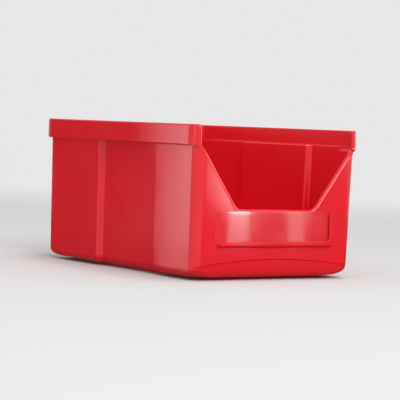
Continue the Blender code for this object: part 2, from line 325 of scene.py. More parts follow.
def set_backs():
    """How far the band under the bow is set back, for each point of an outline."""
    values = [0.0] * BEFORE_FRONT
    values += [FRONT_STEP * eased(i / CORNER_STEPS) for i in range(CORNER_STEPS + 1)]
    return all_round(values + [FRONT_STEP] * FRONT_STEPS)


def stepped_band(outline, extra, drops):
    """Rings that lead from the walls over the bow's edge onto the band that is set back."""
    edge = ring(outline, [h + extra for h in turn_heights()])
    rings = []
    for share, drop in drops:
        rings.append([(x, y + s * share, z - drop) for (x, y, z), s in zip(edge, set_backs())])
    return rings


def quarter_round(low_ring, high_ring, steps):
    """Rings of an elliptical quarter round that leaves the base level and meets the wall upright."""
    rings = []
    for i in range(1, steps):
        angle = math.radians(90 * i / steps)
        out, up = math.sin(angle), 1 - math.cos(angle)
        rings.append(
            [
                (a[0] + (b[0] - a[0]) * out, a[1] + (b[1] - a[1]) * out, a[2] + (b[2] - a[2]) * up)
                for a, b in zip(low_ring, high_ring)
            ]
        )
    return rings


turn = [round(h / MM, 1) for h in (min(turn_heights()), max(turn_heights()))]
print("the walls turn under from", turn[0], "mm at the sides to", turn[1], "mm in the front's middle")

# %% [markdown]
# ## Small roundings
#
# Nothing on a moulding is truly sharp. A corner of half a millimetre still catches a line of light,
# and that line is most of what makes an edge look real. Each corner of the section gets its own
# few rings on a small arc. A Bevel modifier could do this too, but it would also take hold of the
# many short edges of the corners, and rings cost only a line each.

# %% Roundings of the foot and the rim
TURN_STEPS = 14
EDGE_STEPS = 5
FOOT_STEPS = 4
UNDER_RIM = ((0.0, 0.5 * MM), (0.04, 0.2 * MM), (0.15, 0.0))


def arc_shares(steps=EDGE_STEPS):
    """(along, up) shares of a quarter circle, from its start to its end."""
    angles = [math.radians(90 * i / steps) for i in range(steps + 1)]
    return [(math.sin(a), 1 - math.cos(a)) for a in angles]


def foot_rings():
    """The ring under the base that the bin stands on."""
    foot = replace(grown(wall_outline(0), -FOOT_INSET), set_in=0.0)
    foot.back_radius = foot.front_radius = FOOT_RADIUS
    inside_edge = grown(foot, -FOOT_RING)
    slopes = [(share * FOOT_SLOPE, FOOT_HEIGHT - (1 - share) * FOOT_SLOPE) for share in (0.5, 1.0)]
    rings = [ring(grown(inside_edge, -out), z) for out, z in slopes[::-1]]
    for along, up in arc_shares(FOOT_STEPS):
        rings.append(ring(grown(inside_edge, FOOT_ROUND * up), FOOT_ROUND * (1 - along)))
    for along, up in arc_shares(FOOT_STEPS)[::-1]:
        rings.append(ring(grown(foot, -FOOT_ROUND * up), FOOT_ROUND * (1 - along)))
    return rings + [ring(grown(foot, out), z) for out, z in slopes]


def rim_outline():
    return Outline(HALF_WIDTH, BACK_Y, FRONT_Y, RIM_BACK_RADIUS, RIM_FRONT_RADIUS)


def rim_rings():
    """Up the outside of the rim: its underside, its lower edge and its rounded top."""
    wall_top, rim = wall_outline(RIM_Z), rim_outline()
    rings = [ring(between(wall_top, rim, share), RIM_Z - drop) for share, drop in UNDER_RIM]
    for along, up in arc_shares():
        rings.append(ring(grown(rim, -RIM_FOOT_ROUND * (1 - along)), RIM_Z + RIM_FOOT_ROUND * up))
    for along, up in arc_shares()[::-1]:
        rings.append(ring(grown(rim, -RIM_TOP_ROUND * (1 - along)), HEIGHT - RIM_TOP_ROUND * up))
    return rings


print("rings:", len(foot_rings()), "in the foot and", len(rim_rings()), "in the rim")

# %% The outside and the inside, from ring to ring
BOW_EDGE = ((1.0, 0.5 * MM), (0.8, 0.32 * MM), (0.25, 0.14 * MM), (0.0, 0.0))
ABOVE_BOW = 1 * MM
INNER_BOW_RISE = 1.7 * MM
INNER_BOW_EDGE = ((0.0, 0.0), (0.5, 0.5 * MM), (1.0, 1.2 * MM))
LEDGE_EDGE = (
    (0.0, 0.5 * MM),
    (0.08, 0.18 * MM),
    (0.25, 0.05 * MM),
    (0.75, 0.0),
    (0.93, -0.15 * MM),
    (1.0, -0.5 * MM),
)


def outside():
    """From the inner edge of the foot ring out and up to the top of the rim."""
    base_ring = ring(base_outline(0), FOOT_HEIGHT)
    band = stepped_band(wall_outline(SIDE_TURN), 0, BOW_EDGE)
    turn = quarter_round(base_ring, band[0], TURN_STEPS)
    above = ring(wall_outline(SIDE_TURN + ABOVE_BOW), [h + ABOVE_BOW for h in turn_heights()])
    return foot_rings() + [base_ring] + turn + band + [above] + rim_rings()


def inside():
    """From the top of the rim down over the ledge and the walls to the floor."""
    wall_top = inner(wall_outline(RIM_Z))
    rim = Outline(
        half=HALF_WIDTH - WALL,
        back=wall_top.back + INNER_BACK_GAP,
        front=FRONT_Y + WALL,
        back_radius=INNER_RADIUS,
        front_radius=INNER_RADIUS,
    )
    ledge_z = HEIGHT - LEDGE_DROP
    rings = []
    for along, up in arc_shares():
        rings.append(ring(grown(rim, RIM_TOP_ROUND * (1 - along)), HEIGHT - RIM_TOP_ROUND * up))
    rings += [ring(between(rim, wall_top, share), ledge_z + rise) for share, rise in LEDGE_EDGE]
    band = stepped_band(inner(wall_outline(SIDE_TURN)), INNER_BOW_RISE, INNER_BOW_EDGE)
    floor_ring = ring(base_outline(FLOOR_INSET), FLOOR_TOP)
    rings += band + quarter_round(floor_ring, band[-1], TURN_STEPS)[::-1]
    rings.append(floor_ring)
    return rings


print("rings:", len(outside()), "outside and", len(inside()), "inside")

# %% [markdown]
# ## One closed skin
#
# The rings run from under the base, up the outside, over the rim and down the inside to the floor.
# Joined in that order they make one skin, and the first and last ring are closed with one face
# each. The skin has an inside and an outside like a cup, so the Booleans below can cut it. A
# Solidify modifier on the outside alone would be quicker, but it gives every wall one thickness,
# and the ledge, the floor and the rim need their own.

# %% Join the outlines into one skin
def object_from(name, points, faces):
    """A new mesh object whose faces all look outwards."""
    mesh = bpy.data.meshes.new(name)
    mesh.from_pydata(points, [], faces)
    made = bmesh.new()
    made.from_mesh(mesh)
    bmesh.ops.recalc_face_normals(made, faces=made.faces)
    made.to_mesh(mesh)
    made.free()
    found = bpy.data.objects.new(name, mesh)
    bpy.context.scene.collection.objects.link(found)
    return found


def loft(name, rings):
    """A closed body through rings that have the same number of points."""
    count = len(rings[0])
    points = [p for each in rings for p in each]
    faces = [tuple(range(count))[::-1]]
    for level in range(len(rings) - 1):
        for i in range(count):
            a, b = level * count + i, level * count + (i + 1) % count
            faces.append((a, b, b + count, a + count))
    faces.append(tuple(range(len(points) - count, len(points))))
    return object_from(name, points, faces)


moulding = loft("moulded_body", outside() + inside())
print("skin:", len(moulding.data.polygons), "faces")

# %% [markdown]
# ## The open front and its rolled edge
#
# The front is cut down to a low lip with two slanting wings, so that a hand reaches in. A bare cut
# edge would be weak and sharp, so the mould leaves a round bead all along it. The cut is a Boolean
# with a rounded outline, and the bead is a round bar swept along the same line and joined on. The
# bar follows the front's own surface, round the corner posts as well.

# %% Outlines with rounded corners
LIP_Z = 34.6 * MM
LIP_HALF = 23.5 * MM
POST_HALF = 46.3 * MM
WING_TOP_Z = 65.6 * MM
LIP_CORNER = 6 * MM
WING_CORNER = 5 * MM
BEAD = 1.4 * MM
BEAD_PROUD = 0.1 * MM
BEAD_SIDES = 28
ARC_STEPS = 14
OPENING_DEPTH = 12 * MM
CUT_PAST = 5 * MM


def filleted(corners, steps=ARC_STEPS):
    """An outline through (x, z, radius) corners, each rounded to its radius. The ends stay."""
    found = [corners[0][:2]]
    for before, (x, z, radius), after in zip(corners, corners[1:], corners[2:]):
        start = math.atan2(before[1] - z, before[0] - x)
        end = math.atan2(after[1] - z, after[0] - x)
        opening = (end - start + math.pi) % (2 * math.pi) - math.pi
        reach = radius / math.tan(abs(opening) / 2)
        centre = radius / math.sin(abs(opening) / 2)
        middle = start + opening / 2
        cx, cz = x + centre * math.cos(middle), z + centre * math.sin(middle)
        first = math.atan2(z + reach * math.sin(start) - cz, x + reach * math.cos(start) - cx)
        turn = -math.copysign(math.pi - abs(opening), opening)
        for i in range(steps + 1):
            a = first + turn * i / steps
            found.append((cx + radius * math.cos(a), cz + radius * math.sin(a)))
    return found + [corners[-1][:2]]


def mirrored(half):
    """A right half (x, z), and its mirror image on the left, as one line."""
    return [(-x, z) for x, z in half[::-1]] + half


def opening_edge():
    """The middle line of the rolled edge, right half, from the lip up."""
    slope = math.atan2(WING_TOP_Z - LIP_Z, POST_HALF - LIP_HALF)
    corner_x = LIP_HALF + BEAD * math.tan(slope / 2)
    wing_z = WING_TOP_Z - BEAD * math.tan((math.pi / 2 - slope) / 2)
    return filleted(
        [
            (0.0, LIP_Z - BEAD, 0),
            (corner_x, LIP_Z - BEAD, LIP_CORNER + BEAD),
            (POST_HALF + BEAD, wing_z, WING_CORNER - BEAD),
            (POST_HALF + BEAD, HEIGHT - BEAD, 0),
        ]
    )


print("points along the opening:", len(mirrored(opening_edge()[1:])))

# %% The cutter and the bar
DOME = (0, 20, 40, 60, 78)
BEAD_SPACING = 1.5 * MM


def prism(name, outline, near, far, axis="y"):
    """An outline carried along an axis. Across y it is (x, z), across x it is (y, z)."""
    place = {"y": lambda u, v, w: (u, w, v), "x": lambda u, v, w: (w, u, v)}[axis]
    return loft(name, [[place(u, v, w) for u, v in outline] for w in (near, far)])


def surface_y(x, outline):
    """How far forward an outline reaches at x."""
    past_corner = abs(x) - (outline.half - outline.front_radius)
    if past_corner <= 0:
        return outline.front
    radius = outline.front_radius
    return outline.front + radius - math.sqrt(radius**2 - past_corner**2)


def evenly(path, spacing):
    """The same line with extra points, no two further apart than the spacing."""
    found = [path[0]]
    for a, b in zip(path, path[1:]):
        count = max(1, math.ceil(math.dist(a, b) / spacing))
        for i in range(1, count + 1):
            found.append(tuple(p + (q - p) * i / count for p, q in zip(a, b)))
    return found


def bar_ring(place, along, on, size):
    """The points round a bar of this size, `on` further along it than its place."""
    (x, y, z), (along_x, along_z) = place, along
    points = []
    for k in range(BEAD_SIDES):
        a = 2 * math.pi * (k + 0.5) / BEAD_SIDES
        reach, lift = size * math.cos(a), size * math.sin(a)
        points.append((x + along_x * on + along_z * reach, y + lift, z + along_z * on - along_x * reach))
    return points


def rolled_bar(name, path, radius):
    """A round bar along points that lie across y, with domed ends."""
    rings = []
    last = len(path) - 1
    for i, place in enumerate(path):
        before, after = path[max(i - 1, 0)], path[min(i + 1, last)]
        run, rise = after[0] - before[0], after[2] - before[2]
        length = math.hypot(run, rise)
        angles = DOME[::-1] if i == 0 else DOME if i == last else (0,)
        forward = -1 if i == 0 else 1
        for angle in map(math.radians, angles):
            on, size = forward * radius * math.sin(angle), radius * math.cos(angle)
            rings.append(bar_ring(place, (run / length, rise / length), on, size))
    return loft(name, rings)


def rolled_edge():
    """The bead round the opening, a little proud of the front's own surface."""
    path = []
    for x, z in evenly(mirrored(opening_edge()[1:]), BEAD_SPACING):
        outline = rim_outline() if z > RIM_Z else wall_outline(z)
        path.append((x, surface_y(x, outline) + BEAD - BEAD_PROUD, z))
    return rolled_bar("rolled_edge", path, BEAD)


def opening_cutter():
    """What the opening takes out of the front, down to the middle of the bead."""
    edge = opening_edge()
    right = edge[1:-1] + [(edge[-1][0], HEIGHT + CUT_PAST)]
    return prism("opening_cutter", mirrored(right), FRONT_Y - CUT_PAST, FRONT_Y + OPENING_DEPTH)


bead, front_cut = rolled_edge(), opening_cutter()
print("bead:", len(bead.data.polygons), "faces, cutter:", len(front_cut.data.polygons), "faces")

# %% [markdown]
# ## The label holder
#
# The holder is a shallow tray on the front, open at the top: a thin lip in front, a slot of 1 mm
# behind it. It stands proud of the wings, so the strip slides up past them. Its sides lean out
# towards the wall, so that it slips out of the mould. It could be built from three thin strips,
# but one block with a slot and a window cut out of it keeps the roundings at the corners whole.

# %% The label holder
FRAME_HALF = 36 * MM
FRAME_BOTTOM = 17 * MM
FRAME_TAPER = 1.0 * MM
FRAME_CORNER = 2.0 * MM
WINDOW_HALF = 32.4 * MM
WINDOW_BOTTOM = 19 * MM
SLOT_HALF = 34.4 * MM
SLOT_BOTTOM = 17.8 * MM
SLOT_CORNER = 1.5 * MM
HOLDER_LIP = 0.7 * MM
SLOT_DEPTH = 1.0 * MM
HOLDER_BITE = 0.8 * MM
HOLDER_ROUND, HOLDER_STEPS = 0.4 * MM, 6
WINDOW_ROUND, WINDOW_STEPS = 0.25 * MM, 4
LEAST_CORNER = 0.3 * MM
OPEN_TOP = LIP_Z + CUT_PAST

slot_front = HOLDER_Y + HOLDER_LIP
slot_back = slot_front + SLOT_DEPTH


def pocket_outline(half, bottom, top, corner):
    """An upright rectangle with its two lower corners rounded."""
    return mirrored(filleted([(0.0, bottom, 0), (half, bottom, corner), (half, top, 0)])[1:])


def pocket_ring(y, by, half, bottom, top, corner):
    """The same rectangle at a depth y, grown all round, but not at its top."""
    outline = pocket_outline(half + by, bottom - by, top, max(corner + by, LEAST_CORNER))
    return [(x, y, z) for x, z in outline]


def holder_block():
    """The raised block, with a rounded front edge and sides that lean out to the wall."""
    shape = (FRAME_HALF, FRAME_BOTTOM, LIP_Z - BEAD, FRAME_CORNER)
    rings = []
    for along, up in arc_shares(HOLDER_STEPS):
        y = HOLDER_Y + HOLDER_ROUND * up
        rings.append(pocket_ring(y, -HOLDER_ROUND * (1 - along), *shape))
    wall_y = wall_outline(FRAME_BOTTOM - FRAME_TAPER).front
    rings.append(pocket_ring(wall_y, FRAME_TAPER, *shape))
    rings.append(pocket_ring(wall_y + HOLDER_BITE, FRAME_TAPER, *shape))
    return loft("holder", rings)


def window_cutter():
    """The opening in the holder's front, with a rounded outer edge."""
    shape = (WINDOW_HALF, WINDOW_BOTTOM, OPEN_TOP, SLOT_CORNER)
    rings = [pocket_ring(HOLDER_Y - CUT_PAST, WINDOW_ROUND, *shape)]
    for along, up in arc_shares(WINDOW_STEPS)[::-1]:
        y = HOLDER_Y + WINDOW_ROUND * (1 - along)
        rings.append(pocket_ring(y, WINDOW_ROUND * up, *shape))
    rings.append(pocket_ring((slot_front + slot_back) / 2, 0, *shape))
    return loft("window", rings)


def slot_cutter():
    """The slot behind the lip, in which the strip stands."""
    outline = pocket_outline(SLOT_HALF, SLOT_BOTTOM, OPEN_TOP, SLOT_CORNER)
    return prism("slot", outline, slot_front, slot_back)


holder = holder_block()
holder_cuts = [slot_cutter(), window_cutter()]
print("slot, mm:", [round(v / MM, 1) for v in (2 * SLOT_HALF, slot_back - slot_front)])

# %% [markdown]
# ## The hanging rail, and all pieces joined
#
# At the back the rim hangs down behind the wall as a flange, and the gap between them drops over
# a louvre of the panel. The gap is a long slot with two rounded inner corners. Then come all the
# Booleans, in the order in which they build on each other: the front is opened, the holder and
# the bead are joined on, and the slot, the window and the rail are cut through what is there.

# %% The rail and the joining
RAIL_TOP = 2.4 * MM
RAIL_SLOT_HALF = 43 * MM
RAIL_BITE = 0.1 * MM
RAIL_CORNER = 1 * MM


def rail_cutter():
    """The gap between the back wall and the flange. It takes a hair off the wall, for a clean face."""
    near = BACK_Y - RAIL_FLANGE
    far = near - RAIL_GAP - RAIL_BITE
    top = HEIGHT - RAIL_TOP
    start = RIM_Z - CUT_PAST
    outline = filleted(
        [(near, start, 0), (near, top, RAIL_CORNER), (far, top, RAIL_CORNER), (far, start, 0)]
    )
    return prism("rail_cutter", outline, -RAIL_SLOT_HALF, RAIL_SLOT_HALF, axis="x")


def combine(target, other, operation):
    """Join another piece to the target, or cut it out."""
    step = target.modifiers.new(f"{operation.title()} {other.name}", "BOOLEAN")
    step.operation = operation
    step.solver = "EXACT"
    step.object = other


def keep_only_result(piece, helpers):
    """Turn the modifiers into plain mesh and remove the pieces that they used."""
    graph = bpy.context.evaluated_depsgraph_get()
    result = bpy.data.meshes.new_from_object(piece.evaluated_get(graph))
    piece.modifiers.clear()
    piece.data = result
    for helper in helpers:
        bpy.data.objects.remove(helper)


joined, cut = [holder, bead], [*holder_cuts, rail_cutter()]
combine(moulding, front_cut, "DIFFERENCE")
for piece in joined:
    combine(moulding, piece, "UNION")
for piece in cut:
    combine(moulding, piece, "DIFFERENCE")
keep_only_result(moulding, [front_cut, *joined, *cut])
print("moulding:", len(moulding.data.polygons), "faces")

# %% [markdown]
# ## Marks of the mould
#
# Four pins push the moulding off the steel, and each leaves a shallow round mark on the floor. The
# plastic came in at one point under the base, which leaves a dimple. They are only a quarter of a
# millimetre deep or a little more. They could be bump in the material, but a shape keeps its line
# of light from every side, so they are cut, with sides that slope enough to catch the light.

# %% Pin and gate marks
PIN_RADIUS = 4 * MM
PIN_PLACES = [(x * MM, y * MM) for y in (-44, 42) for x in (-26, 26)]
PIN_DEPTH = 0.25 * MM
GATE_RADIUS = 3 * MM
GATE_DEPTH = 0.4 * MM
MARK_SLOPE = 0.3 * MM
MARK_STEPS = 40


def disc_cutter(name, x, y, surface, depth, radius):
    """A round cutter across a flat face, with sloping sides and one end inside the plastic."""
    rings = []
    for z, r in ((surface + depth, radius - MARK_SLOPE), (surface - depth, radius + MARK_SLOPE)):
        angles = [2 * math.pi * i / MARK_STEPS for i in range(MARK_STEPS)]
        rings.append([(x + r * math.cos(a), y + r * math.sin(a), z) for a in angles])
    return loft(name, rings)


marks = [disc_cutter("pin_mark", x, y, FLOOR_TOP, -PIN_DEPTH, PIN_RADIUS) for x, y in PIN_PLACES]
marks.append(disc_cutter("gate_mark", 0, 0, FOOT_HEIGHT, GATE_DEPTH, GATE_RADIUS))
for mark in marks:
    combine(moulding, mark, "DIFFERENCE")
keep_only_result(moulding, marks)
print("with its marks:", len(moulding.data.polygons), "faces")

# %% [markdown]
# ## Smooth shading that leaves flat faces flat
#
# Smooth shading blends the light across an edge. Plain smooth shading also bends the large flat
# walls next to each small rounding, and a glossy wall then mirrors the room as a bent spoon does.
# Weighted normals let the largest face at each corner decide, so the walls stay true and only
# the roundings turn. Edges sharper than the limit stay sharp.

# %% Shading
MOULDING_SHARP = 32
STRIP_SHARP = 40
LARGEST_FACE_WINS = 100


def shade(piece, sharpest):
    """Smooth shading, in which a large flat face isn't bent by the small roundings beside it."""
    piece.data.shade_smooth()
    piece.data.set_sharp_from_angle(angle=math.radians(sharpest))
    flat = piece.modifiers.new("Flat faces stay flat", "WEIGHTED_NORMAL")
    flat.keep_sharp = True
    flat.weight = LARGEST_FACE_WINS
    keep_only_result(piece, [])


shade(moulding, MOULDING_SHARP)
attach(moulding, "shell")
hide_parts("bin_shell")
print("moulding shaded, and it rides on the shell")

# %% [markdown]
# ## The clear strip
#
# The strip is a piece of clear sheet, cut with rounded corners. It only needs its outline, its
# thickness and a hair's breadth of rounding, because a cut edge of clear plastic shows as one
# bright line. Its size comes from the measured strip, so it stays free in its slot.

# %% Clear strip
STRIP_CORNER = 1.5 * MM
STRIP_EDGE = 0.08 * MM
STRIP_EDGE_STEPS = 3


def strip_outline(low, high, inset):
    """The strip's outline, this much smaller, with its four corners rounded."""
    middle = (low.z + high.z) / 2
    half, tall = high.x - inset, (high.z - low.z) / 2 - inset
    corner = STRIP_CORNER - inset
    right = filleted(
        [
            (0.0, middle - tall, 0),
            (half, middle - tall, corner),
            (half, middle + tall, corner),
            (0.0, middle + tall, 0),
        ]
    )
    return mirrored(right[1:-1])


def make_strip():
    """Rings from the strip's front face to its back face, smaller where the edge is rounded."""
    low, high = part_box("label_cover")
    rings = []
    for y, inwards in ((low.y, 1), (high.y, -1)):
        for along, up in arc_shares(STRIP_EDGE_STEPS)[::inwards]:
            outline = strip_outline(low, high, STRIP_EDGE * (1 - along))
            rings.append([(x, y + inwards * STRIP_EDGE * up, z) for x, z in outline])
    return loft("clear_strip", rings)


strip = make_strip()
shade(strip, STRIP_SHARP)
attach(strip, "cover")
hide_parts("label_cover")
print("strip:", len(strip.data.polygons), "faces")

# %% [markdown]
# ## Plastics
#
# Both materials are Principled shaders with textures in the piece's own coordinates, so they
# move with it. The red one needs four things that make moulded polypropylene look like itself: a
# colour with almost no green or blue in it, a gloss that isn't the same everywhere, a very
# shallow waviness that bends reflections, and scuffs where it is handled and stood on.

# %% Helpers for shader nodes
class Nodes:
    """A new material whose nodes are added and joined in one call each."""

    def __init__(self, name):
        self.material = bpy.data.materials.new(name)
        self.material.use_nodes = True
        self.tree = self.material.node_tree
        self.shader = self.tree.nodes["Principled BSDF"]
        self.coords = self.add("ShaderNodeTexCoord")

    def add(self, kind, settings=None, **inputs):
        """A node. Each input is a number, a tuple or another node's output."""
        made = self.tree.nodes.new(kind)
        for key, value in (settings or {}).items():
            setattr(made, key, value)
        for key, value in inputs.items():
            self.join(made, key.replace("_", " "), value)
        return made

    def join(self, made, key, value):
        """Set an input, or join another node to it. A key such as i0 is the input's number."""
        socket = made.inputs[int(key[1:]) if key[0] == "i" and key[1:].isdigit() else key]
        if isinstance(value, bpy.types.NodeSocket):
            self.tree.links.new(value, socket)
        else:
            socket.default_value = value

    def math(self, operation, a, b=0.0):
        made = self.add("ShaderNodeMath", {"operation": operation}, i0=a, i1=b)
        return made.outputs[0]

    def noise(self, scale, detail, roughness=0.5):
        """Noise in the piece's own coordinates. A larger scale makes smaller spots."""
        made = self.add(
            "ShaderNodeTexNoise",
            Vector=self.coords.outputs["Object"],
            Scale=scale,
            Detail=detail,
            Roughness=roughness,
        )
        return made.outputs[0]

    def ramp(self, value, low, high, to_low=0.0, to_high=1.0):
        """The value, with low to high stretched smoothly to a new range."""
        made = self.add("ShaderNodeMapRange", {"interpolation_type": "SMOOTHSTEP"})
        for index, number in enumerate((value, low, high, to_low, to_high)):
            self.join(made, f"i{index}", number)
        return made.outputs[0]

    def bump(self, height, distance, before=None):
        """Shallow relief, this many metres deep, on top of any relief before it."""
        made = self.add("ShaderNodeBump", Height=height, Distance=distance, Strength=1.0)
        if before is not None:
            self.join(made, "Normal", before)
        return made.outputs[0]


print("shader helpers:", [name for name in vars(Nodes) if not name.startswith("_")])

# %% [markdown]
# ### The red moulding
#
# Polypropylene reflects light much as other plastics do. Its gloss comes from the polish of the
# steel, so it wanders a little over the outside, and it is a little duller inside, where the
# core of the mould is polished less. One roughness value would look like paint. Noise at three
# sizes is enough here: broad for the gloss, broader for the waves, very fine for the skin.

# %% Red polypropylene
RED = (0.72, 0.010, 0.020)
PLASTIC_IOR = 1.49
GLOSS = (0.13, 0.2)
GLOSS_SPOTS, GLOSS_BAND = 55, (0.3, 0.7)
INSIDE_DULLER = 0.05
INSIDE_EDGE = 0.01
WORN_DULLER = 0.16
WAVE_SPOTS, WAVE_DEPTH = 32, 0.08 * MM
PEEL_SPOTS, PEEL_DEPTH = 700, 0.0015 * MM


def red_polypropylene():
    red = Nodes("red_polypropylene")
    shader = red.shader
    red.join(shader, "Base Color", (*RED, 1))
    red.join(shader, "IOR", PLASTIC_IOR)

    gloss = red.ramp(red.noise(GLOSS_SPOTS, 4), *GLOSS_BAND, *GLOSS)
    inwards = inside_mask(red)
    gloss = red.math("ADD", gloss, red.math("MULTIPLY", inwards, INSIDE_DULLER))
    worn = red.math("MULTIPLY", wear_mask(red), WORN_DULLER)
    red.join(shader, "Roughness", red.math("ADD", gloss, worn))

    waves = red.bump(red.noise(WAVE_SPOTS, 1), WAVE_DEPTH)
    peel = red.bump(red.noise(PEEL_SPOTS, 2), PEEL_DEPTH, before=waves)
    red.join(shader, "Normal", peel)
    return red.material


def inside_mask(red):
    """1 on the faces that look into the bin, 0 on those that look out of it."""
    flat = red.add(
        "ShaderNodeVectorMath", {"operation": "MULTIPLY"}, i0=red.coords.outputs["Object"], i1=(1, 1, 0)
    )
    facing = red.add(
        "ShaderNodeVectorMath",
        {"operation": "DOT_PRODUCT"},
        i0=flat.outputs[0],
        i1=red.coords.outputs["Normal"],
    )
    return red.ramp(facing.outputs["Value"], -INSIDE_EDGE, INSIDE_EDGE, 1.0, 0.0)


# %% Where the plastic is worn
RIM_WEAR = (HEIGHT - 0.9 * MM, HEIGHT - 0.2 * MM)
FOOT_WEAR = (0.1 * MM, 0.6 * MM)
SCUFF_SPOTS, SCUFF_BAND = 260, (0.42, 0.62)
PATCH_SPOTS, PATCH_BAND = 30, (0.48, 0.62)


def wear_mask(red):
    """Scuffs where the next bin stands on the rim, and where the foot slides on a shelf."""
    place = red.add("ShaderNodeSeparateXYZ", Vector=red.coords.outputs["Object"])
    up = place.outputs["Z"]
    rim = red.ramp(up, *RIM_WEAR)
    foot = red.ramp(up, *FOOT_WEAR, 1.0, 0.0)
    scuffs = red.ramp(red.noise(SCUFF_SPOTS, 5, roughness=0.7), *SCUFF_BAND)
    patches = red.ramp(red.noise(PATCH_SPOTS, 3), *PATCH_BAND)
    scuffs = red.math("MULTIPLY", scuffs, patches)
    return red.math("MULTIPLY", red.math("ADD", rim, foot), scuffs)


print("roughness of the red, least and most:", GLOSS[0], round(GLOSS[1] + INSIDE_DULLER + WORN_DULLER, 2))

# %% [markdown]
# ### The clear sheet
#
# The strip is cut from clear sheet that handling has made a little hazy. A transmissive shader
# makes it. Left alone, though, it would throw a dark shadow on the plastic behind it, because a
# ray that is aimed at a lamp can't be bent on its way. So shadow rays and bounced light pass the
# sheet unbent, and only the camera and mirrored rays see it.

# %% Clear sheet
CLEAR = (0.97, 0.98, 0.98)
SHEET_IOR = 1.5
SHEET_GLOSS = (0.05, 0.11)
SHEET_SPOTS, SHEET_BAND = 90, (0.35, 0.7)


def clear_sheet():
    clear = Nodes("clear_sheet")
    haze = clear.ramp(clear.noise(SHEET_SPOTS, 4), *SHEET_BAND, *SHEET_GLOSS)
    clear.join(clear.shader, "Base Color", (*CLEAR, 1))
    clear.join(clear.shader, "Roughness", haze)
    clear.join(clear.shader, "IOR", SHEET_IOR)
    clear.join(clear.shader, "Transmission Weight", 1.0)
    let_light_through(clear)
    return clear.material


def let_light_through(clear):
    """Lamps and the wall's own bounced light pass the sheet as if it weren't there."""
    ray = clear.add("ShaderNodeLightPath")
    light = clear.math("MAXIMUM", ray.outputs["Is Shadow Ray"], ray.outputs["Is Diffuse Ray"])
    through = clear.add("ShaderNodeBsdfTransparent")
    mix = clear.add(
        "ShaderNodeMixShader", i0=light, i1=clear.shader.outputs[0], i2=through.outputs[0]
    )
    clear.tree.links.new(mix.outputs[0], clear.tree.nodes["Material Output"].inputs["Surface"])


def dress(piece, material):
    piece.data.materials.clear()
    piece.data.materials.append(material)


dress(moulding, red_polypropylene())
dress(strip, clear_sheet())
print("materials:", [m.name for m in bpy.data.materials])

# %% [markdown]
# ## The studio
#
# A pale floor and an even pale world give the bin its plain light. The floor's shading fades into
# the colour of the world at a distance, so there is no horizon, and the shadow stays.

# %% Floor and world
BACKDROP = 0.80
FLOOR_COLOUR = 0.60
FLOOR_ROUGHNESS = 0.9
FLOOR_HALF = 6
FADE = (0.3, 1.1)
WORLD_LIGHT = 0.68


def grey(level):
    return (level, level, level, 1)


def floor_material():
    """Matt and without any shine, so that no lamp glares off it from behind."""
    floor = Nodes("studio_floor")
    floor.join(floor.shader, "Base Color", grey(FLOOR_COLOUR))
    floor.join(floor.shader, "Roughness", FLOOR_ROUGHNESS)
    floor.join(floor.shader, "Specular IOR Level", 0.0)
    away = floor.add(
        "ShaderNodeVectorMath", {"operation": "LENGTH"}, i0=floor.coords.outputs["Object"]
    )
    fade = floor.ramp(away.outputs["Value"], *FADE)
    glow = floor.add("ShaderNodeEmission", Color=grey(BACKDROP), Strength=1.0)
    mix = floor.add(
        "ShaderNodeMixShader", i0=fade, i1=floor.shader.outputs[0], i2=glow.outputs[0]
    )
    end = floor.tree.nodes["Material Output"]
    floor.tree.links.new(mix.outputs[0], end.inputs["Surface"])
    return floor.material


def add_floor():
    mesh = bpy.data.meshes.new("studio_floor")
    ends = ((-1, -1), (1, -1), (1, 1), (-1, 1))
    mesh.from_pydata([(FLOOR_HALF * x, FLOOR_HALF * y, 0) for x, y in ends], [], [(0, 1, 2, 3)])
    floor = bpy.data.objects.new("studio_floor", mesh)
    bpy.context.scene.collection.objects.link(floor)
    dress(floor, floor_material())
    return floor


def add_world(light):
    """Even light from all round, and the backdrop's colour where the camera sees past the floor."""
    world = bpy.data.worlds.new("studio")
    world.use_nodes = True
    tree = world.node_tree
    lit = tree.nodes["Background"]
    lit.inputs["Color"].default_value = grey(light)
    seen = tree.nodes.new("ShaderNodeBackground")
    seen.inputs["Color"].default_value = grey(BACKDROP)
    ray = tree.nodes.new("ShaderNodeLightPath")
    mix = tree.nodes.new("ShaderNodeMixShader")
    tree.links.new(ray.outputs["Is Camera Ray"], mix.inputs[0])
    tree.links.new(lit.outputs[0], mix.inputs[1])
    tree.links.new(seen.outputs[0], mix.inputs[2])
    tree.links.new(mix.outputs[0], tree.nodes["World Output"].inputs["Surface"])
    bpy.context.scene.world = world


add_floor()
add_world(WORLD_LIGHT)
bpy.context.scene.view_settings.view_transform = "Standard"
print("floor and world are in place, and the view transform is Standard")

# %% [markdown]
# ## Lights
#
# One large soft lamp in front models the form, a second above lights the inside, and a small
# weak one at the left keeps the near side from going dead. Each is a rectangle that faces the
# bin. A smaller key lamp would be brighter for its size, but it would draw hard shadows.

# %% Lights
KEY_PLACE, KEY_SIZE, KEY_POWER = (-0.32, -1.2, 0.92), (0.7, 0.7), 11.5
LEFT_PLACE, LEFT_SIZE, LEFT_POWER = (-1.27, -0.32, 0.20), (0.2, 0.2), 0.8
TOP_PLACE, TOP_SIZE, TOP_POWER = (0.15, -0.15, 1.3), (0.6, 0.6), 6


def add_area(name, place, size, power):
    light = bpy.data.lights.new(name, "AREA")
    light.shape = "RECTANGLE"
    light.size, light.size_y = size
    light.energy = power
    lamp = bpy.data.objects.new(name, light)
    lamp.location = place
    lamp.rotation_euler = (VIEW_TARGET - Vector(place)).to_track_quat("-Z", "Y").to_euler()
    bpy.context.scene.collection.objects.link(lamp)
    return lamp


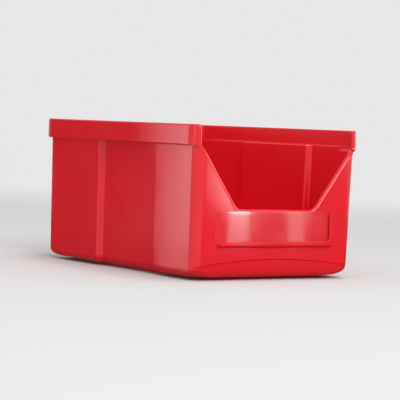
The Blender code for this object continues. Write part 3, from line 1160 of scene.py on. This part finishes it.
add_area("key", KEY_PLACE, KEY_SIZE, KEY_POWER)
add_area("left", LEFT_PLACE, LEFT_SIZE, LEFT_POWER)
add_area("top", TOP_PLACE, TOP_SIZE, TOP_POWER)
print("lamps, watts:", KEY_POWER, LEFT_POWER, TOP_POWER)

# %% [markdown]
# ## What the gloss shows
#
# A glossy wall that is seen at a slant is mostly a mirror, so what stands round the bin matters
# as much as the lamps. Cards that only reflections see are put there. Bright ones in front draw
# the two upright streaks and the light along the left wing. One beside the bin and one on the
# floor draw the sheen on the side's front end, and one at the right the light on the rolled
# edge. Dark ones, the flags, keep the rest of the front, the side and the base deep red. Real
# objects would do the same job, but they would have to be modelled and kept out of the picture.
# Each card is given by the places on the bin at which it should be seen mirrored.

# %% A card
def card(name, corners, strength):
    """A flat card that only glossy reflections see."""
    mesh = bpy.data.meshes.new(name)
    mesh.from_pydata(corners, [], [tuple(range(len(corners)))])
    made = bpy.data.objects.new(name, mesh)
    bpy.context.scene.collection.objects.link(made)
    glow = Nodes(name)
    light = glow.add("ShaderNodeEmission", Color=(1, 1, 1, 1), Strength=strength)
    glow.tree.links.new(light.outputs[0], glow.tree.nodes["Material Output"].inputs["Surface"])
    dress(made, glow.material)
    for way in ("camera", "diffuse", "volume_scatter", "shadow"):
        setattr(made, f"visible_{way}", False)
    return made


print("a card is seen by reflections only")

# %% Where a card must stand to be seen at a place
EYE = camera.matrix_world.translation
FRONT_CARDS = 120 * MM
SIDE_CARDS_Y = 85 * MM
FLOOR_CARDS = 0.3 * MM


def in_front(outline, distance=FRONT_CARDS):
    """Corners of a card in front of the bin, seen mirrored at these (x, z) places of the front."""
    found = []
    for x, z in outline:
        on = distance / (FRONT_Y - EYE.y)
        found.append((x + (x - EYE.x) * on, FRONT_Y - distance, z + (z - EYE.z) * on))
    return found


def beside(outline):
    """Corners of a card behind the bin, seen mirrored at these (y, z) places of its left side."""
    found = []
    for y, z in outline:
        on = (SIDE_CARDS_Y - y) / (y - EYE.y)
        side = -HALF_WIDTH
        found.append((side - (side - EYE.x) * on, SIDE_CARDS_Y, z + (z - EYE.z) * on))
    return found


def on_floor(outline):
    """Corners of a card just above the floor, at these (x, y) places of it."""
    return [(x * MM, y * MM, FLOOR_CARDS) for x, y in outline]


def box_outline(left, right, bottom, top):
    corners = ((left, bottom), (right, bottom), (right, top), (left, top))
    return [(a * MM, b * MM) for a, b in corners]


def upright(left, right, bottom, top, y):
    """Corners of an upright card that faces the front, at its real place."""
    return [(x, y, z) for x, z in ((left, bottom), (right, bottom), (right, top), (left, top))]


print("the eye is", [round(v, 3) for v in EYE], "m from the middle of the bin")

# %% The cards
STREAK_LEFT, STREAK_RIGHT = box_outline(-29.4, -17.6, 14, 34), box_outline(6.5, 16.9, 14, 40)
WING = [
    (x * MM, z * MM)
    for x, z in ((-28.5, 33), (-17.6, 33), (-17.6, 36), (-22, 37), (-39, 60), (-41, 58))
]
FRONT_FLAG = box_outline(-70, 70, 16, 62)
SIDE_FLAG = box_outline(-35, 72, 2, 80)
SIDE_SHEEN, SIDE_SHEEN_DIM = box_outline(-90, -53, 2, 80), box_outline(-53, -36, 2, 80)
FLOOR_FLAG = ((-51, -500), (500, -500), (500, 500), (-408, 500), (-51, -36))
FLOOR_SHEEN = ((-65, -53), (-65, -15), (-408, 500), (-454, 500))
BEAD_CARD = (0.09, 0.26, 0.068, 0.12, -0.21)
FLAG_BEHIND = 1.07 * FRONT_CARDS
WING_NEARER = 0.98 * FRONT_CARDS

card("front_flag", in_front(FRONT_FLAG, FLAG_BEHIND), strength=0.12)
card("streak_left", in_front(STREAK_LEFT), strength=1.9)
card("streak_right", in_front(STREAK_RIGHT), strength=1.2)
card("wing_sheen", in_front(WING, WING_NEARER), strength=15)
card("floor_flag", on_floor(FLOOR_FLAG), strength=0.08)
card("floor_sheen", on_floor(FLOOR_SHEEN), strength=1.3)
card("side_flag", beside(SIDE_FLAG), strength=0.06)
card("side_sheen", beside(SIDE_SHEEN), strength=2.5)
card("side_sheen_dim", beside(SIDE_SHEEN_DIM), strength=1.5)
card("bead_sheen", upright(*BEAD_CARD), strength=7.0)

# %% [markdown] ## The size The dressed model has to keep the box of the measured
# parts: a bin that grew by a rounding would no longer hang where the motion model says.
